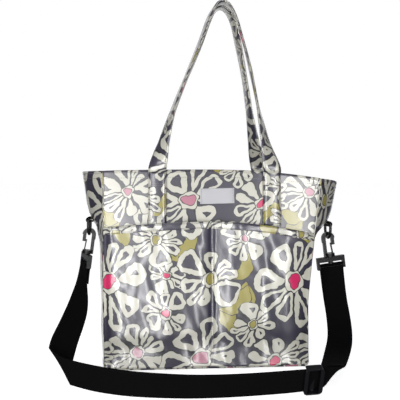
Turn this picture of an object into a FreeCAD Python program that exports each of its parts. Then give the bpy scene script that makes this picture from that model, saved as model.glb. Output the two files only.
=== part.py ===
"""Diaper bag: a soft tote with two handles, a front pocket and a clip-on shoulder strap.

Frame: +X to the wearer's right, +Y to the back, +Z up. The origin is on the floor, under the middle
of the bag. All lengths are millimetres and all angles are degrees.
"""
import FreeCAD, Part
import math
import os

import Sketcher

Vector = FreeCAD.Vector

DIMENSIONS = {
    # The sewn body: half sizes of its outline at the base, at the ring tabs and at the rim.
    "bag_height": 300,
    "tab_level": 216,
    "base_front_half": 158,
    "base_depth_half": 60,
    "base_side_half": 163,
    "tab_front_half": 161,
    "tab_depth_half": 58,
    "tab_side_half": 175,
    "rim_front_half": 161,
    "rim_depth_half": 53,
    "rim_side_half": 200,
    "panel_thickness": 2.5,
    "base_corner": 4,
    # Inside the bag.
    "board_thickness": 3,
    "lining_gap": 0.3,
    "lining_thickness": 1,
    "facing_height": 30,
    "slip_width": 210,
    "slip_height": 120,
    "slip_gap": 8,
    "slip_bottom": 105,
    "slip_cloth": 1,
    "slip_elastic_height": 10,
    "snap_radius": 9,
    "snap_thickness": 2,
    "snap_drop": 20,
    # The front pocket.
    "pocket_height": 213,
    "pocket_hem_height": 10,
    "pocket_cloth": 1.6,
    "pocket_depth": 14,
    "pocket_bottom_depth": 2.4,
    "pocket_turn": 34,
    "pocket_side_slope": 8,
    "divider_width": 3,
    # The label and the handles.
    "label_width": 50,
    "label_height": 23,
    "label_thickness": 0.8,
    "label_bottom": 249,
    "label_shift": 10,
    "handle_width": 27,
    "handle_thickness": 4,
    "handle_left": -80,
    "handle_right": 95,
    "handle_end_bottom": 225,
    "handle_end_top": 296.5,
    # The ring tabs and the rings.
    "tab_width": 25,
    "tab_cloth": 1.8,
    "tab_root": 174.2,
    "ring_bar_radius": 2.25,
    "ring_arc_radius": 15,
    "ring_leg": 8,
    "ring_clearance": 0.4,
    "left_ring_x": -188.5,
    "left_ring_z": 221,
    "right_ring_x": 199,
    "right_ring_z": 212,
    # The swivel hooks, measured from the middle of the ring's wire.
    "hook_tilt": 7,
    "left_swivel": 70,
    "right_swivel": 4,
    "hook_slot": 9,
    "hook_outer": 10.5,
    "hook_width": 6.5,
    "hook_arc_drop": 0.8,
    "hook_nose_drop": 12,
    "hook_slot_bottom": 25.5,
    "hook_collar_height": 5.5,
    "hook_collar_radius": 8,
    "hook_arm": 5,
    "post_radius": 3,
    "post_clearance": 0.08,
    "post_head_radius": 4.2,
    "post_head_height": 2,
    "gate_thickness": 1.8,
    "gate_width": 5,
    "gate_barrel_radius": 1.7,
    "gate_pin_radius": 0.8,
    "gate_pin_clearance": 0.08,
    # The rectangular webbing frame under each hook.
    "frame_width": 47,
    "frame_depth": 7,
    "frame_top_bar": 8,
    "frame_window": 39.4,
    "frame_window_height": 6.5,
    "frame_bar_radius": 2.4,
    "frame_leg_end": 20,
    # The shoulder strap and its slider.
    "web_width": 38,
    "web_thickness": 1.6,
    "web_loop_radius": 3.6,
    "layer_gap": 2.3,
    "slider_length": 26,
    "slider_height": 42.5,
    "slider_bar": 5,
    "slider_thickness": 3,
    "slider_slot": 38.8,
    "slider_gap": 1.6,
    "slider_place": 126,
    "slider_corner": 6,
}

# Route of the shoulder strap's middle line, from the left hook's frame to the right hook's frame.
STRAP_ROUTE = [
    (-197.8, -1.2, 150.4), (-199, -6, 122), (-201, -30, 93), (-206, -66, 73), (-213, -103, 54),
    (-217, -128, 27), (-186, -137, 20), (-148, -160, 19.6), (-98, -178, 19), (-5, -190, 18),
    (154, -181, 22.8), (161, -150, 21), (186, -92, 24), (205, -49, 36), (211.5, -17, 62),
    (209, 0, 98), (204.9, 3.6, 141.4),
]
# Direction across the webbing at each point of the route, towards its upper edge.
STRAP_ACROSS = [
    (-0.34, 0.94, 0), (-0.48, 0.87, 0.05), (-0.70, 0.70, 0.10), (-0.88, 0.42, 0.18),
    (-0.93, 0.15, 0.33), (-0.43, -0.13, 0.89), (-0.05, -0.14, 0.99), (0, -0.20, 0.98),
    (0, -0.28, 0.96), (0.03, -0.38, 0.92), (0.03, -0.38, 0.92), (0.70, -0.60, 0.38),
    (0.92, -0.36, 0.15), (0.98, -0.18, 0.04), (1, -0.03, 0.03), (0.99, 0.04, 0.08),
    (0.99, 0.05, 0.12),
]
SLIDER_RUN = 9

# Route of the front handle's middle line from its left end to its right end, and the turn of the
# strap's width about the upright: 0 at the left end, 90 where it faces sideways, 180 at the right end.
HANDLE_ROUTE = [
    (-80, -60.5, 302), (-71, -54, 340), (-56, -45, 392), (-35, -35, 446), (-12, -25, 502),
    (4, -17, 546), (16, -14.5, 565), (30, -14.5, 566), (44, -16.5, 547), (54, -24, 510),
    (66, -34, 455), (76, -44, 398), (86, -54, 342), (95, -60.5, 302),
]
HANDLE_TURN = [0, 50, 78, 84, 78, 78, 88, 92, 102, 102, 96, 102, 130, 180]


class Term:
    """A length that carries its number and its spreadsheet expression together."""

    def __init__(self, value, text):
        self.value = value
        self.text = text

    def _join(self, other, sign, value):
        return Term(value, f"({self.text} {sign} {as_term(other).text})")

    def __add__(self, other):
        return self._join(other, "+", self.value + as_term(other).value)

    def __sub__(self, other):
        return self._join(other, "-", self.value - as_term(other).value)

    def __mul__(self, other):
        return self._join(other, "*", self.value * as_term(other).value)

    def __truediv__(self, other):
        return self._join(other, "/", self.value / as_term(other).value)

    def __rsub__(self, other):
        return as_term(other) - self

    def __neg__(self):
        return as_term(0) - self


def as_term(number):
    return number if isinstance(number, Term) else Term(number, str(number))


class Sizes:
    """The driving dimensions, read back from the spreadsheet as terms."""

    def __init__(self, sheet):
        for alias in DIMENSIONS:
            setattr(self, alias, Term(float(sheet.get(alias)), f"Dimensions.{alias}"))


def make_sheet(doc):
    sheet = doc.addObject("Spreadsheet::Sheet", "Dimensions")
    for row, (alias, value) in enumerate(DIMENSIONS.items(), start=1):
        sheet.set(f"A{row}", alias)
        sheet.set(f"B{row}", str(value))
        sheet.setAlias(f"B{row}", alias)
    doc.recompute()
    return sheet


doc = FreeCAD.newDocument("DiaperBag")
sheet = make_sheet(doc)
size = Sizes(sheet)
nodes = []


def number(term):
    return as_term(term).value


def bind(item, path, term):
    term = as_term(term)
    item.setExpression(path, term.text)


def place(item, x=0, y=0, z=0):
    """Put an item's origin at a point whose coordinates may be terms."""
    item.Placement.Base = Vector(number(x), number(y), number(z))
    for axis, term in (("x", x), ("y", y), ("z", z)):
        if isinstance(term, Term):
            bind(item, f".Placement.Base.{axis}", term)


def keep(item, name):
    """Make an item one of the bag's sub-parts."""
    item.Label = name
    nodes.append(item)
    return item


# ---------------------------------------------------------------- sketches and bodies

def origin_plane(body, role):
    return next(plane for plane in body.Origin.OriginFeatures if plane.Role == role)


def pin_point(sketch, line, end, name, x, y):
    """Fix a sketch point at a place given as two terms."""
    for kind, term, axis in (("DistanceX", as_term(x), -2), ("DistanceY", as_term(y), -1)):
        if abs(term.value) < 1e-9:
            sketch.addConstraint(Sketcher.Constraint("PointOnObject", line, end, axis))
            continue
        row = sketch.addConstraint(Sketcher.Constraint(kind, -1, 1, line, end, term.value))
        sketch.renameConstraint(row, f"{name}_{kind[-1].lower()}")
        sketch.setExpression(f"Constraints[{row}]", term.text)


def outline_sketch(body, name, points, height, role="XY_Plane"):
    """A closed outline of straight lines, parallel to an origin plane."""
    sketch = body.newObject("Sketcher::SketchObject", name)
    sketch.AttachmentSupport = [(origin_plane(body, role), "")]
    sketch.MapMode = "FlatFace"
    bind(sketch, ".AttachmentOffset.Base.z", height)
    corners = [Vector(number(x), number(y), 0) for x, y in points]
    count = len(corners)
    for index, corner in enumerate(corners):
        sketch.addGeometry(Part.LineSegment(corner, corners[(index + 1) % count]), False)
    for index in range(count):
        sketch.addConstraint(
            Sketcher.Constraint("Coincident", index, 2, (index + 1) % count, 1))
    for index, (x, y) in enumerate(points):
        pin_point(sketch, index, 1, f"p{index}", x, y)
    return sketch


def loft_feature(body, kind, name, levels):
    sketches = [outline_sketch(body, f"{name}_{i}", points, height)
                for i, (height, points) in enumerate(levels)]
    loft = body.newObject(f"PartDesign::{kind}", name)
    loft.Profile = sketches[0]
    loft.Sections = sketches[1:]
    loft.Ruled = True
    return loft


def lofted(name, levels, hollow=None):
    """A body lofted straight between outlines at several heights, with an optional hollow."""
    body = doc.addObject("PartDesign::Body", name)
    loft_feature(body, "AdditiveLoft", f"{name}_loft", levels)
    if hollow:
        loft_feature(body, "SubtractiveLoft", f"{name}_hollow", hollow)
    return keep(body, name)


def padded_outline(name, points, height, length, role="XY_Plane"):
    """A body made by padding one outline."""
    body = doc.addObject("PartDesign::Body", name)
    pad = body.newObject("PartDesign::Pad", f"{name}_pad")
    pad.Profile = outline_sketch(body, f"{name}_outline", points, height, role)
    bind(pad, "Length", length)
    return body


def rectangle(x_low, x_high, y_low, y_high):
    return [(x_low, y_low), (x_high, y_low), (x_high, y_high), (x_low, y_high)]


def fillet_upright_edges(body, radius):
    doc.recompute()
    names = []
    for index, edge in enumerate(body.Shape.Edges, start=1):
        run = edge.Vertexes[0].Point - edge.Vertexes[-1].Point
        if math.hypot(run.x, run.y) < 1e-6:
            names.append(f"Edge{index}")
    pad = body.Tip
    fillet = body.newObject("PartDesign::Fillet", f"{body.Name}_corners")
    fillet.Base = (pad, names)
    bind(fillet, "Radius", radius)
    body.Tip = fillet


# ---------------------------------------------------------------- primitives and booleans

def box(name, x_low, x_high, y_low, y_high, z_low, z_high):
    item = doc.addObject("Part::Box", name)
    bind(item, "Length", as_term(x_high) - x_low)
    bind(item, "Width", as_term(y_high) - y_low)
    bind(item, "Height", as_term(z_high) - z_low)
    place(item, x_low, y_low, z_low)
    return item


def cylinder(name, radius, length, axis="z"):
    """A cylinder that starts at the origin and runs along an axis."""
    item = doc.addObject("Part::Cylinder", name)
    bind(item, "Radius", radius)
    bind(item, "Height", length)
    turns = {"x": (Vector(0, 1, 0), 90), "y": (Vector(1, 0, 0), -90), "z": (Vector(0, 0, 1), 0)}
    item.Placement.Rotation = FreeCAD.Rotation(*turns[axis])
    return item


def fuse(name, items):
    item = doc.addObject("Part::MultiFuse", name)
    item.Shapes = items
    return item


def cut(name, base, tool):
    item = doc.addObject("Part::Cut", name)
    item.Base = base
    item.Tool = tool
    return item


# ---------------------------------------------------------------- the sewn body

def outline_at(height):
    """Half sizes (front, depth, side) of the bag's outer face at a height."""
    names = ("front", "depth", "side")
    base, tab, rim = ([getattr(size, f"{level}_{name}_half") for name in names]
                      for level in ("base", "tab", "rim"))
    if number(height) <= size.tab_level.value:
        low, high = base, tab
        share = as_term(height) / size.tab_level
    else:
        low, high = tab, rim
        share = (as_term(height) - size.tab_level) / (size.bag_height - size.tab_level)
    return [a + (b - a) * share for a, b in zip(low, high)]


def wall_levels(shape, heights):
    return [(height, shape(*outline_at(height))) for height in heights]


def front_wall(front, depth, side):
    skin = size.panel_thickness
    return [(-front, -depth), (front, -depth), (front - skin, skin - depth), (skin - front, skin - depth)]


def back_wall(front, depth, side):
    return [(x, -y) for x, y in front_wall(front, depth, side)]


def right_wall(front, depth, side):
    skin = size.panel_thickness
    return [(front, -depth), (side, as_term(0)), (front, depth), (front - skin, depth - skin),
            (side - skin, as_term(0)), (front - skin, skin - depth)]


def left_wall(front, depth, side):
    return [(-x, y) for x, y in right_wall(front, depth, side)]


def inset_outline(inset):
    """A six-sided outline inside the bag's walls."""
    def shape(front, depth, side):
        f, d, s = front - inset, depth - inset, side - inset
        zero = as_term(0)
        return [(-f, -d), (f, -d), (s, zero), (f, d), (-f, d), (-s, zero)]
    return shape


def make_shell():
    skin = size.panel_thickness
    heights = (skin, size.tab_level, size.bag_height)
    lofted("front_panel", wall_levels(front_wall, heights))
    lofted("back_panel", wall_levels(back_wall, heights))
    lofted("left_gusset", wall_levels(left_wall, heights))
    lofted("right_gusset", wall_levels(right_wall, heights))
    half, depth = size.base_front_half, size.base_depth_half
    base = padded_outline("base_panel", rectangle(-half, half, -depth, depth), 0, skin)
    fillet_upright_edges(base, size.base_corner)
    keep(base, "base_panel")


def make_inside():
    skin = size.panel_thickness
    half = size.base_front_half - 10
    depth = size.base_depth_half - 8
    board = padded_outline("base_board", rectangle(-half, half, -depth, depth), skin, size.board_thickness)
    fillet_upright_edges(board, size.base_corner)
    keep(board, "base_board")

    outer = inset_outline(skin + size.lining_gap)
    inner = inset_outline(skin + size.lining_gap + size.lining_thickness)
    floor = skin + size.board_thickness + size.lining_gap
    top = size.bag_height - size.facing_height
    lofted("lining", wall_levels(outer, (floor, size.tab_level, top)),
           wall_levels(inner, (floor + size.lining_thickness, size.tab_level, top)))
    lofted("rim_facing", wall_levels(outer, (top, size.bag_height)),
           wall_levels(inner, (top, size.bag_height)))


def make_slip_pocket():
    """The slip pocket on the back lining, with an elastic hem."""
    cloth = size.slip_cloth
    back = as_term(outline_at(size.slip_bottom + size.slip_height)[1]) - size.panel_thickness - 2
    front = back - size.slip_gap
    half = size.slip_width / 2
    low = size.slip_bottom
    top = low + size.slip_height - size.slip_elastic_height
    sheet_box = box("slip_outer", -half, half, front, back, low, top)
    hollow = box("slip_hollow", cloth - half, half - cloth, front + cloth, back + 1, low + cloth, top + 1)
    keep(cut("slip_pocket", sheet_box, hollow), "slip_pocket")
    hem_box = box("slip_hem_outer", -half, half, front - 0.6, back, top, low + size.slip_height)
    hem_hole = box("slip_hem_hollow", cloth - half, half - cloth, front + cloth, back + 1,
                   top - 1, low + size.slip_height + 1)
    keep(cut("slip_elastic", hem_box, hem_hole), "slip_elastic")


def make_snaps():
    """The two halves of the magnetic snap, on the facing inside the rim."""
    level = size.bag_height - size.snap_drop
    depth = as_term(outline_at(level)[1]) - size.panel_thickness - size.lining_gap
    depth = depth - size.lining_thickness - 0.5
    front = cylinder("snap_front_disc", size.snap_radius, size.snap_thickness, "y")
    place(front, 0, -depth, level)
    keep(front, "snap_front")
    back = cylinder("snap_back_disc", size.snap_radius, size.snap_thickness, "y")
    place(back, 0, depth - size.snap_thickness, level)
    keep(back, "snap_back")


def pocket_wall(reach, cloth, extra=0):
    """Outline of the front pocket's cloth: a shallow tray, open to the panel behind it."""
    def shape(front, depth, side):
        edge = front - 0.5
        turn = edge - size.pocket_side_slope
        face = -depth - reach - extra
        inner_face = -depth - reach + cloth
        return [(-edge, -depth), (-turn, face), (turn, face), (edge, -depth),
                (edge - cloth, -depth), (turn - cloth, inner_face),
                (cloth - turn, inner_face), (cloth - edge, -depth)]
    return shape


def make_front_pocket():
    cloth = size.pocket_cloth
    skin = size.panel_thickness
    full = pocket_wall(size.pocket_depth, cloth)
    narrow = pocket_wall(size.pocket_bottom_depth, cloth)
    levels = [(skin, narrow(*outline_at(skin))),
              (size.pocket_turn, full(*outline_at(size.pocket_turn))),
              (size.pocket_height, full(*outline_at(size.pocket_height)))]
    lofted("front_pocket", levels)
    hem_top = size.pocket_height + size.pocket_hem_height
    hem = pocket_wall(size.pocket_depth, cloth, 0.8)
    lofted("pocket_hem", wall_levels(hem, (size.pocket_height, size.tab_level, hem_top)))

    half = size.divider_width / 2
    depth_low = outline_at(size.pocket_turn)[1]
    depth_top = outline_at(size.pocket_height)[1]
    reach = size.pocket_depth - cloth
    lofted("pocket_divider", [
        (size.pocket_turn, rectangle(-half, half, -depth_low - reach, -depth_low)),
        (size.pocket_height, rectangle(-half, half, -depth_top - reach, -depth_top))])


def flat_piece(name, x_low, x_high, z_low, z_high, thickness, side=-1):
    """A flat piece sewn on the front (side -1) or the back (side 1) panel."""
    levels = []
    for height in (z_low, z_high):
        depth = outline_at(height)[1]
        near, far = depth * side, (depth + thickness) * side
        levels.append((height, rectangle(x_low, x_high, near, far)))
    return lofted(name, levels)


def make_label_and_handle_ends():
    middle = size.label_shift
    flat_piece("label", middle - size.label_width / 2, middle + size.label_width / 2,
               size.label_bottom, size.label_bottom + size.label_height, size.label_thickness)
    half = size.handle_width / 2
    for face, side in (("front", -1), ("back", 1)):
        for hand, middle in (("left", size.handle_left), ("right", size.handle_right)):
            flat_piece(f"{face}_handle_{hand}_end", middle - half, middle + half,
                       size.handle_end_bottom, size.handle_end_top, size.handle_thickness, side)


# ---------------------------------------------------------------- straps

def rounded_route(points):
    """Straight runs joined by arcs: a list of (place, direction, point index as a fraction)."""
    points = [Vector(*point) for point in points]
    runs = [b - a for a, b in zip(points, points[1:])]
    lengths = [run.Length for run in runs]
    ways = [Vector(run).normalize() for run in runs]
    stations = [(points[0], ways[0], 0.0)]
    for i in range(1, len(points) - 1):
        turn = ways[i - 1].getAngle(ways[i])
        reach = 0.45 * min(lengths[i - 1], lengths[i])
        radius = reach / math.tan(turn / 2)
        axis = ways[i - 1].cross(ways[i]).normalize()
        start = points[i] - ways[i - 1] * reach
        centre = start + axis.cross(ways[i - 1]) * radius
        first, last = i - reach / lengths[i - 1], i + reach / lengths[i]
        steps = max(2, math.ceil(math.degrees(turn) / 12))
        for step in range(steps + 1):
            share = step / steps
            spin = FreeCAD.Rotation(axis, math.degrees(turn) * share)
            place_now = centre + spin.multVec(start - centre)
            stations.append((place_now, spin.multVec(ways[i - 1]), first + (last - first) * share))
    stations.append((points[-1], ways[-1], len(points) - 1.0))
    return with_middles(stations)


def with_middles(stations):
    """Add places between stations that are far apart, so that the strap twists evenly."""
    full = stations[:1]
    for (start, way, index), (end, next_way, next_index) in zip(stations, stations[1:]):
        count = math.ceil((end - start).Length / 12)
        for step in range(1, count + 1):
            share = step / count
            way_now = (way * (1 - share) + next_way * share).normalize()
            full.append((start + (end - start) * share, way_now, index + (next_index - index) * share))
    return full


def across_at(across, index):
    low = min(int(index), len(across) - 2)
    share = index - low
    return (across[low] * (1 - share) + across[low + 1] * share).normalize()


def ribbon(stations, across, width, thickness, shift=lambda index: 0.0):
    """A flat strap along a route. The shift moves it off the route, along its own thickness."""
    across = [Vector(*way).normalize() for way in across]
    sections = []
    length = 0.0
    last = None
    for place_now, way, index in stations:
        over = across_at(across, index)
        out = way.cross(over).normalize()
        half = over * (width / 2 / math.sin(way.getAngle(over)))
        skin = out * (thickness / 2)
        middle = place_now + out * shift(index)
        corners = [middle - half - skin, middle - half + skin, middle + half + skin, middle + half - skin]
        sections.append(Part.makePolygon(corners + corners[:1]))
        length += (middle - last).Length if last else 0.0
        last = middle
    return Part.makeLoft(sections, True, True), length


def add_shape(name, shape):
    item = doc.addObject("Part::Feature", name)
    item.Shape = shape
    return keep(item, name)


def make_handles():
    width, thickness = size.handle_width.value, size.handle_thickness.value
    across = [(math.cos(math.radians(turn)), -math.sin(math.radians(turn)), 0) for turn in HANDLE_TURN]
    front, length = ribbon(rounded_route(HANDLE_ROUTE), across, width, thickness)
    add_shape("front_handle", front)
    route = [(x, -y, z) for x, y, z in HANDLE_ROUTE]
    across = [(x, -y, z) for x, y, z in across]
    back, length = ribbon(rounded_route(route), across, width, thickness)
    add_shape("back_handle", back)
    print(f"each handle: free length {length:.0f} mm")


def make_strap():
    width, thickness = size.web_width.value, size.web_thickness.value
    stations = rounded_route(STRAP_ROUTE)
    solid, length = ribbon(stations, STRAP_ACROSS, width, thickness)
    add_shape("strap_webbing", solid)
    share = solid.Volume / (width * thickness * length)
    print(f"strap: length {length:.0f} mm, volume / (section x length) {share:.3f}")

    first, last = (Vector(*STRAP_ROUTE[SLIDER_RUN + i]) for i in (0, 1))
    share = (size.slider_place.value + size.slider_length.value / 2 + 2 - first.x) / (last.x - first.x)
    start = (first + (last - first) * share, (last - first).normalize(), SLIDER_RUN + share)
    stations = [start] + [station for station in stations if station[2] > start[2] + 0.1]
    spread = 2 * size.web_loop_radius.value - size.layer_gap.value
    final = len(STRAP_ROUTE) - 1

    def behind(index):
        return -size.layer_gap.value - spread * max(0.0, index - final + 1)

    solid, length = ribbon(stations, STRAP_ACROSS, width, thickness, behind)
    add_shape("strap_return", solid)
    print(f"strap return layer: length {length:.0f} mm")


# ---------------------------------------------------------------- rings, hooks and slider

def ring_spot(hand):
    return getattr(size, f"{hand}_ring_x"), getattr(size, f"{hand}_ring_z")


def outward(hand):
    return -1 if hand == "left" else 1


def make_ring_tab(hand):
    """A folded webbing tab: a loop round the ring's bar and a stem sewn into the gusset."""
    x, z = ring_spot(hand)
    bore = size.ring_bar_radius + size.ring_clearance
    rim = bore + size.tab_cloth
    half = size.tab_width / 2
    loop = cylinder(f"{hand}_tab_loop", rim, size.tab_width, "y")
    place(loop, x, -half, z)
    root = size.tab_root * outward(hand)
    low, high = (x, root) if hand == "left" else (root, x)
    stem = box(f"{hand}_tab_stem", low, high, -half, half, z - size.tab_cloth, z + size.tab_cloth)
    bored = cylinder(f"{hand}_tab_bore", bore, size.tab_width + 4, "y")
    place(bored, x, -half - 2, z)
    name = f"{hand}_ring_tab"
    keep(cut(name, fuse(f"{hand}_tab_solid", [loop, stem]), bored), name)


def make_ring(hand):
    """A D-ring that hangs from its straight bar: two legs and a half circle below them."""
    x, z = ring_spot(hand)
    radius, leg, wire = size.ring_arc_radius, size.ring_leg, size.ring_bar_radius
    bar = cylinder(f"{hand}_ring_bar", wire, radius * 2, "y")
    place(bar, x, -radius, z)
    parts = [bar]
    for end, side in (("near", -1), ("far", 1)):
        upright = cylinder(f"{hand}_ring_leg_{end}", wire, leg)
        place(upright, x, radius * side, z - leg)
        knuckle = doc.addObject("Part::Sphere", f"{hand}_ring_knuckle_{end}")
        bind(knuckle, "Radius", wire)
        place(knuckle, x, radius * side, z)
        parts += [upright, knuckle]
    bow = doc.addObject("Part::Torus", f"{hand}_ring_bow")
    bind(bow, "Radius1", radius)
    bind(bow, "Radius2", wire)
    bow.Angle3 = 180
    bow.Placement.Rotation = FreeCAD.Rotation(Vector(0, 0, 1), 90) * FreeCAD.Rotation(Vector(1, 0, 0), -90)
    place(bow, x, 0, z - leg)
    parts.append(bow)
    name = f"{hand}_d_ring"
    keep(fuse(name, parts), name)


def hang(item, hand, swivel=0):
    """Hang an item drawn about the ring's wire: tilted outwards, and turned about its own post."""
    x, z = ring_spot(hand)
    drop = size.ring_leg + size.ring_arc_radius
    spin = FreeCAD.Rotation(Vector(0, 0, 1), number(swivel))
    tilt = FreeCAD.Rotation(Vector(0, 1, 0), -size.hook_tilt.value * outward(hand))
    flip = FreeCAD.Rotation(Vector(0, 0, 1), 180 if hand == "left" else 0)
    item.Placement.Rotation = tilt * spin * flip
    place(item, x, 0, z - drop)


def make_hook(hand):
    """The hook: a moulded arch with its arm on the bag's side, a nose, a collar and a swivel post."""
    slot, outer, half = size.hook_slot / 2, size.hook_outer, size.hook_width / 2
    arc, bottom = -size.hook_arc_drop, -size.hook_slot_bottom
    crown = cylinder(f"{hand}_hook_crown", outer, size.hook_width, "y")
    place(crown, 0, -half, arc)
    arm = box(f"{hand}_hook_arm", -slot - size.hook_arm, -slot, -half, half, bottom - 1, arc)
    shoulder = box(f"{hand}_hook_shoulder", -outer, -slot, -half, half, arc - 7, arc)
    nose = box(f"{hand}_hook_nose", slot, outer - 1.2, -half, half, -size.hook_nose_drop, arc)
    lower_half = box(f"{hand}_hook_lower", -outer - 1, outer + 1, -half - 1, half + 1, arc - outer - 1, arc)
    upper = cut(f"{hand}_hook_upper", crown, lower_half)
    collar = cylinder(f"{hand}_hook_collar", size.hook_collar_radius, size.hook_collar_height)
    place(collar, 0, 0, bottom - size.hook_collar_height)
    foot = box(f"{hand}_hook_foot", -slot - size.hook_arm, 0, -half, half,
               bottom - size.hook_collar_height, bottom)
    post_length = size.frame_top_bar + 1.4
    post = cylinder(f"{hand}_hook_post", size.post_radius, post_length)
    post_low = bottom - size.hook_collar_height - post_length
    place(post, 0, 0, post_low)
    head = cylinder(f"{hand}_hook_head", size.post_head_radius, size.post_head_height)
    place(head, 0, 0, post_low - size.post_head_height)
    solid = fuse(f"{hand}_hook_solid", [upper, arm, shoulder, nose, collar, foot, post, head])

    throat = cylinder(f"{hand}_hook_throat", slot, size.hook_width + 2, "y")
    place(throat, 0, -half - 1, arc)
    socket = box(f"{hand}_gate_socket", slot - 1.9, outer, -size.gate_width / 2 - 0.4,
                 size.gate_width / 2 + 0.4, bottom - 3.9, bottom + 1)
    moulding = cut(f"{hand}_hook_moulding", solid, fuse(f"{hand}_hook_hollows", [throat, socket]))
    pin = cylinder(f"{hand}_gate_pin", size.gate_pin_radius, size.gate_width + 3, "y")
    place(pin, slot + 0.4, -size.gate_width / 2 - 1.5, bottom - 1.9)
    name = f"{hand}_hook"
    hook = fuse(name, [moulding, pin])
    hang(hook, hand)
    keep(hook, name)


def make_gate(hand):
    """The sprung gate: a strip on a barrel in the collar, resting inside the nose."""
    slot, half = size.hook_slot / 2, size.gate_width / 2
    axle_x, axle_z = slot + 0.4, -size.hook_slot_bottom - 1.9
    barrel = cylinder(f"{hand}_gate_barrel", size.gate_barrel_radius, size.gate_width, "y")
    place(barrel, axle_x, -half, axle_z)
    strip = padded_outline(f"{hand}_gate_strip", [
        (slot - 0.4, axle_z), (slot + size.gate_thickness - 0.6, axle_z),
        (slot - 0.4, -size.hook_nose_drop + 3), (slot - 0.4 - size.gate_thickness, -size.hook_nose_drop + 3),
    ], -half, size.gate_width, "XZ_Plane")
    bore = cylinder(f"{hand}_gate_bore", size.gate_pin_radius + size.gate_pin_clearance,
                    size.gate_width + 2, "y")
    place(bore, axle_x, -half - 1, axle_z)
    name = f"{hand}_gate"
    gate = cut(name, fuse(f"{hand}_gate_solid", [barrel, strip]), bore)
    hang(gate, hand)
    keep(gate, name)


def make_hook_frame(hand):
    """The rectangular frame that the webbing goes round, with the swivel post's bore in its top bar."""
    half, deep = size.frame_width / 2, size.frame_depth / 2
    top = -size.hook_slot_bottom - size.hook_collar_height - 0.3
    window_top = top - size.frame_top_bar
    bar_z = window_top - size.frame_window_height - size.frame_bar_radius
    legs_low = top - size.frame_leg_end
    plate = box(f"{hand}_frame_plate", -half, half, -deep, deep, legs_low, top)
    opening = box(f"{hand}_frame_opening", -size.frame_window / 2, size.frame_window / 2,
                  -deep - 1, deep + 1, legs_low - 1, window_top)
    bore = cylinder(f"{hand}_frame_bore", size.post_radius + size.post_clearance, size.frame_top_bar + 2)
    place(bore, 0, 0, window_top - 1)
    yoke = cut(f"{hand}_frame_yoke", plate, fuse(f"{hand}_frame_cuts", [opening, bore]))
    bar = cylinder(f"{hand}_frame_bar", size.frame_bar_radius, size.frame_width - 1, "x")
    place(bar, 0.5 - half, 0, bar_z)
    name = f"{hand}_hook_frame"
    frame = fuse(name, [yoke, bar])
    hang(frame, hand, getattr(size, f"{hand}_swivel") * outward(hand))
    keep(frame, name)
    return bar_z


def make_web_loop(hand, bar_z):
    """The turn of webbing over the frame's bar; at the left it carries the sewn-back end."""
    half, radius = size.web_width / 2, size.web_loop_radius
    cloth = size.web_thickness / 2
    turn = cylinder(f"{hand}_loop_turn", radius + cloth, size.web_width, "x")
    hollow = cylinder(f"{hand}_loop_hollow", radius - cloth, size.web_width + 2, "x")
    place(turn, -half, 0, bar_z)
    place(hollow, -half - 1, 0, bar_z)
    below = box(f"{hand}_loop_below", -half - 1, half + 1, -radius - 2, radius + 2,
                bar_z - radius - 2, bar_z)
    arch = cut(f"{hand}_loop_arch", turn, fuse(f"{hand}_loop_cuts", [hollow, below]))
    parts = [arch]
    if hand == "left":
        parts.append(box("left_loop_tail", -half, half, -radius - cloth, cloth - radius, bar_z - 30, bar_z))
    name = f"strap_{hand}_loop"
    loop = fuse(name, parts) if len(parts) > 1 else arch
    hang(loop, hand, getattr(size, f"{hand}_swivel") * outward(hand))
    keep(loop, name)


def slider_placement():
    """The slider's frame on the strap: X along the run, Z across the webbing."""
    first, last = (Vector(*STRAP_ROUTE[SLIDER_RUN + i]) for i in (0, 1))
    way = (last - first).normalize()
    over = Vector(*STRAP_ACROSS[SLIDER_RUN])
    over = (over - way * over.dot(way)).normalize()
    out = over.cross(way)
    share = (size.slider_place.value - first.x) / (last.x - first.x)
    turn = FreeCAD.Rotation(way, out, over, "XZY")
    return FreeCAD.Placement(first + (last - first) * share, turn)


def make_slider():
    """The slider: two bars over the webbing, one bar behind it, and a plate at each end."""
    long, tall, bar = size.slider_length / 2, size.slider_height / 2, size.slider_bar
    gap, skin = size.slider_gap, size.slider_thickness
    cheek = size.slider_slot / 2
    corner = size.slider_corner
    depth = (gap + skin) * 2
    blocks = [box("slider_wide", -long, long, -gap - skin, gap + skin, corner - tall, tall - corner),
              box("slider_tall", corner - long, long - corner, -gap - skin, gap + skin, -tall, tall)]
    for x in (corner - long, long - corner):
        for z in (corner - tall, tall - corner):
            rounded = cylinder(f"slider_corner_{len(blocks) - 1}", corner, depth, "y")
            place(rounded, x, -gap - skin, z)
            blocks.append(rounded)
    body = fuse("slider_block", blocks)
    passage = box("slider_passage", -long - 1, long + 1, -gap, gap, -cheek, cheek)
    front_window = box("slider_window", bar - long, long - bar, -gap - skin - 1, -gap + 0.1, -cheek, cheek)
    rear_left = box("slider_rear_left", -long - 1, -bar / 2, gap - 0.1, gap + skin + 1, -cheek, cheek)
    rear_right = box("slider_rear_right", bar / 2, long + 1, gap - 0.1, gap + skin + 1, -cheek, cheek)
    slider = cut("slider", body, fuse("slider_cuts", [passage, front_window, rear_left, rear_right]))
    slider.Placement = slider_placement()
    keep(slider, "slider")


make_shell()
make_inside()
make_slip_pocket()
make_snaps()
make_front_pocket()
make_label_and_handle_ends()
make_handles()
make_strap()
for hand in ("left", "right"):
    make_ring_tab(hand)
    make_ring(hand)
    make_hook(hand)
    make_gate(hand)
    make_web_loop(hand, make_hook_frame(hand))
make_slider()
doc.recompute()

failed = [item.Label for item in doc.Objects if {"Invalid", "Error"} & set(item.State)]
failed += [node.Label for node in nodes if node.Shape.isNull() or not node.Shape.isValid()]
if failed:
    raise SystemExit(f"failed: {failed}")

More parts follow.
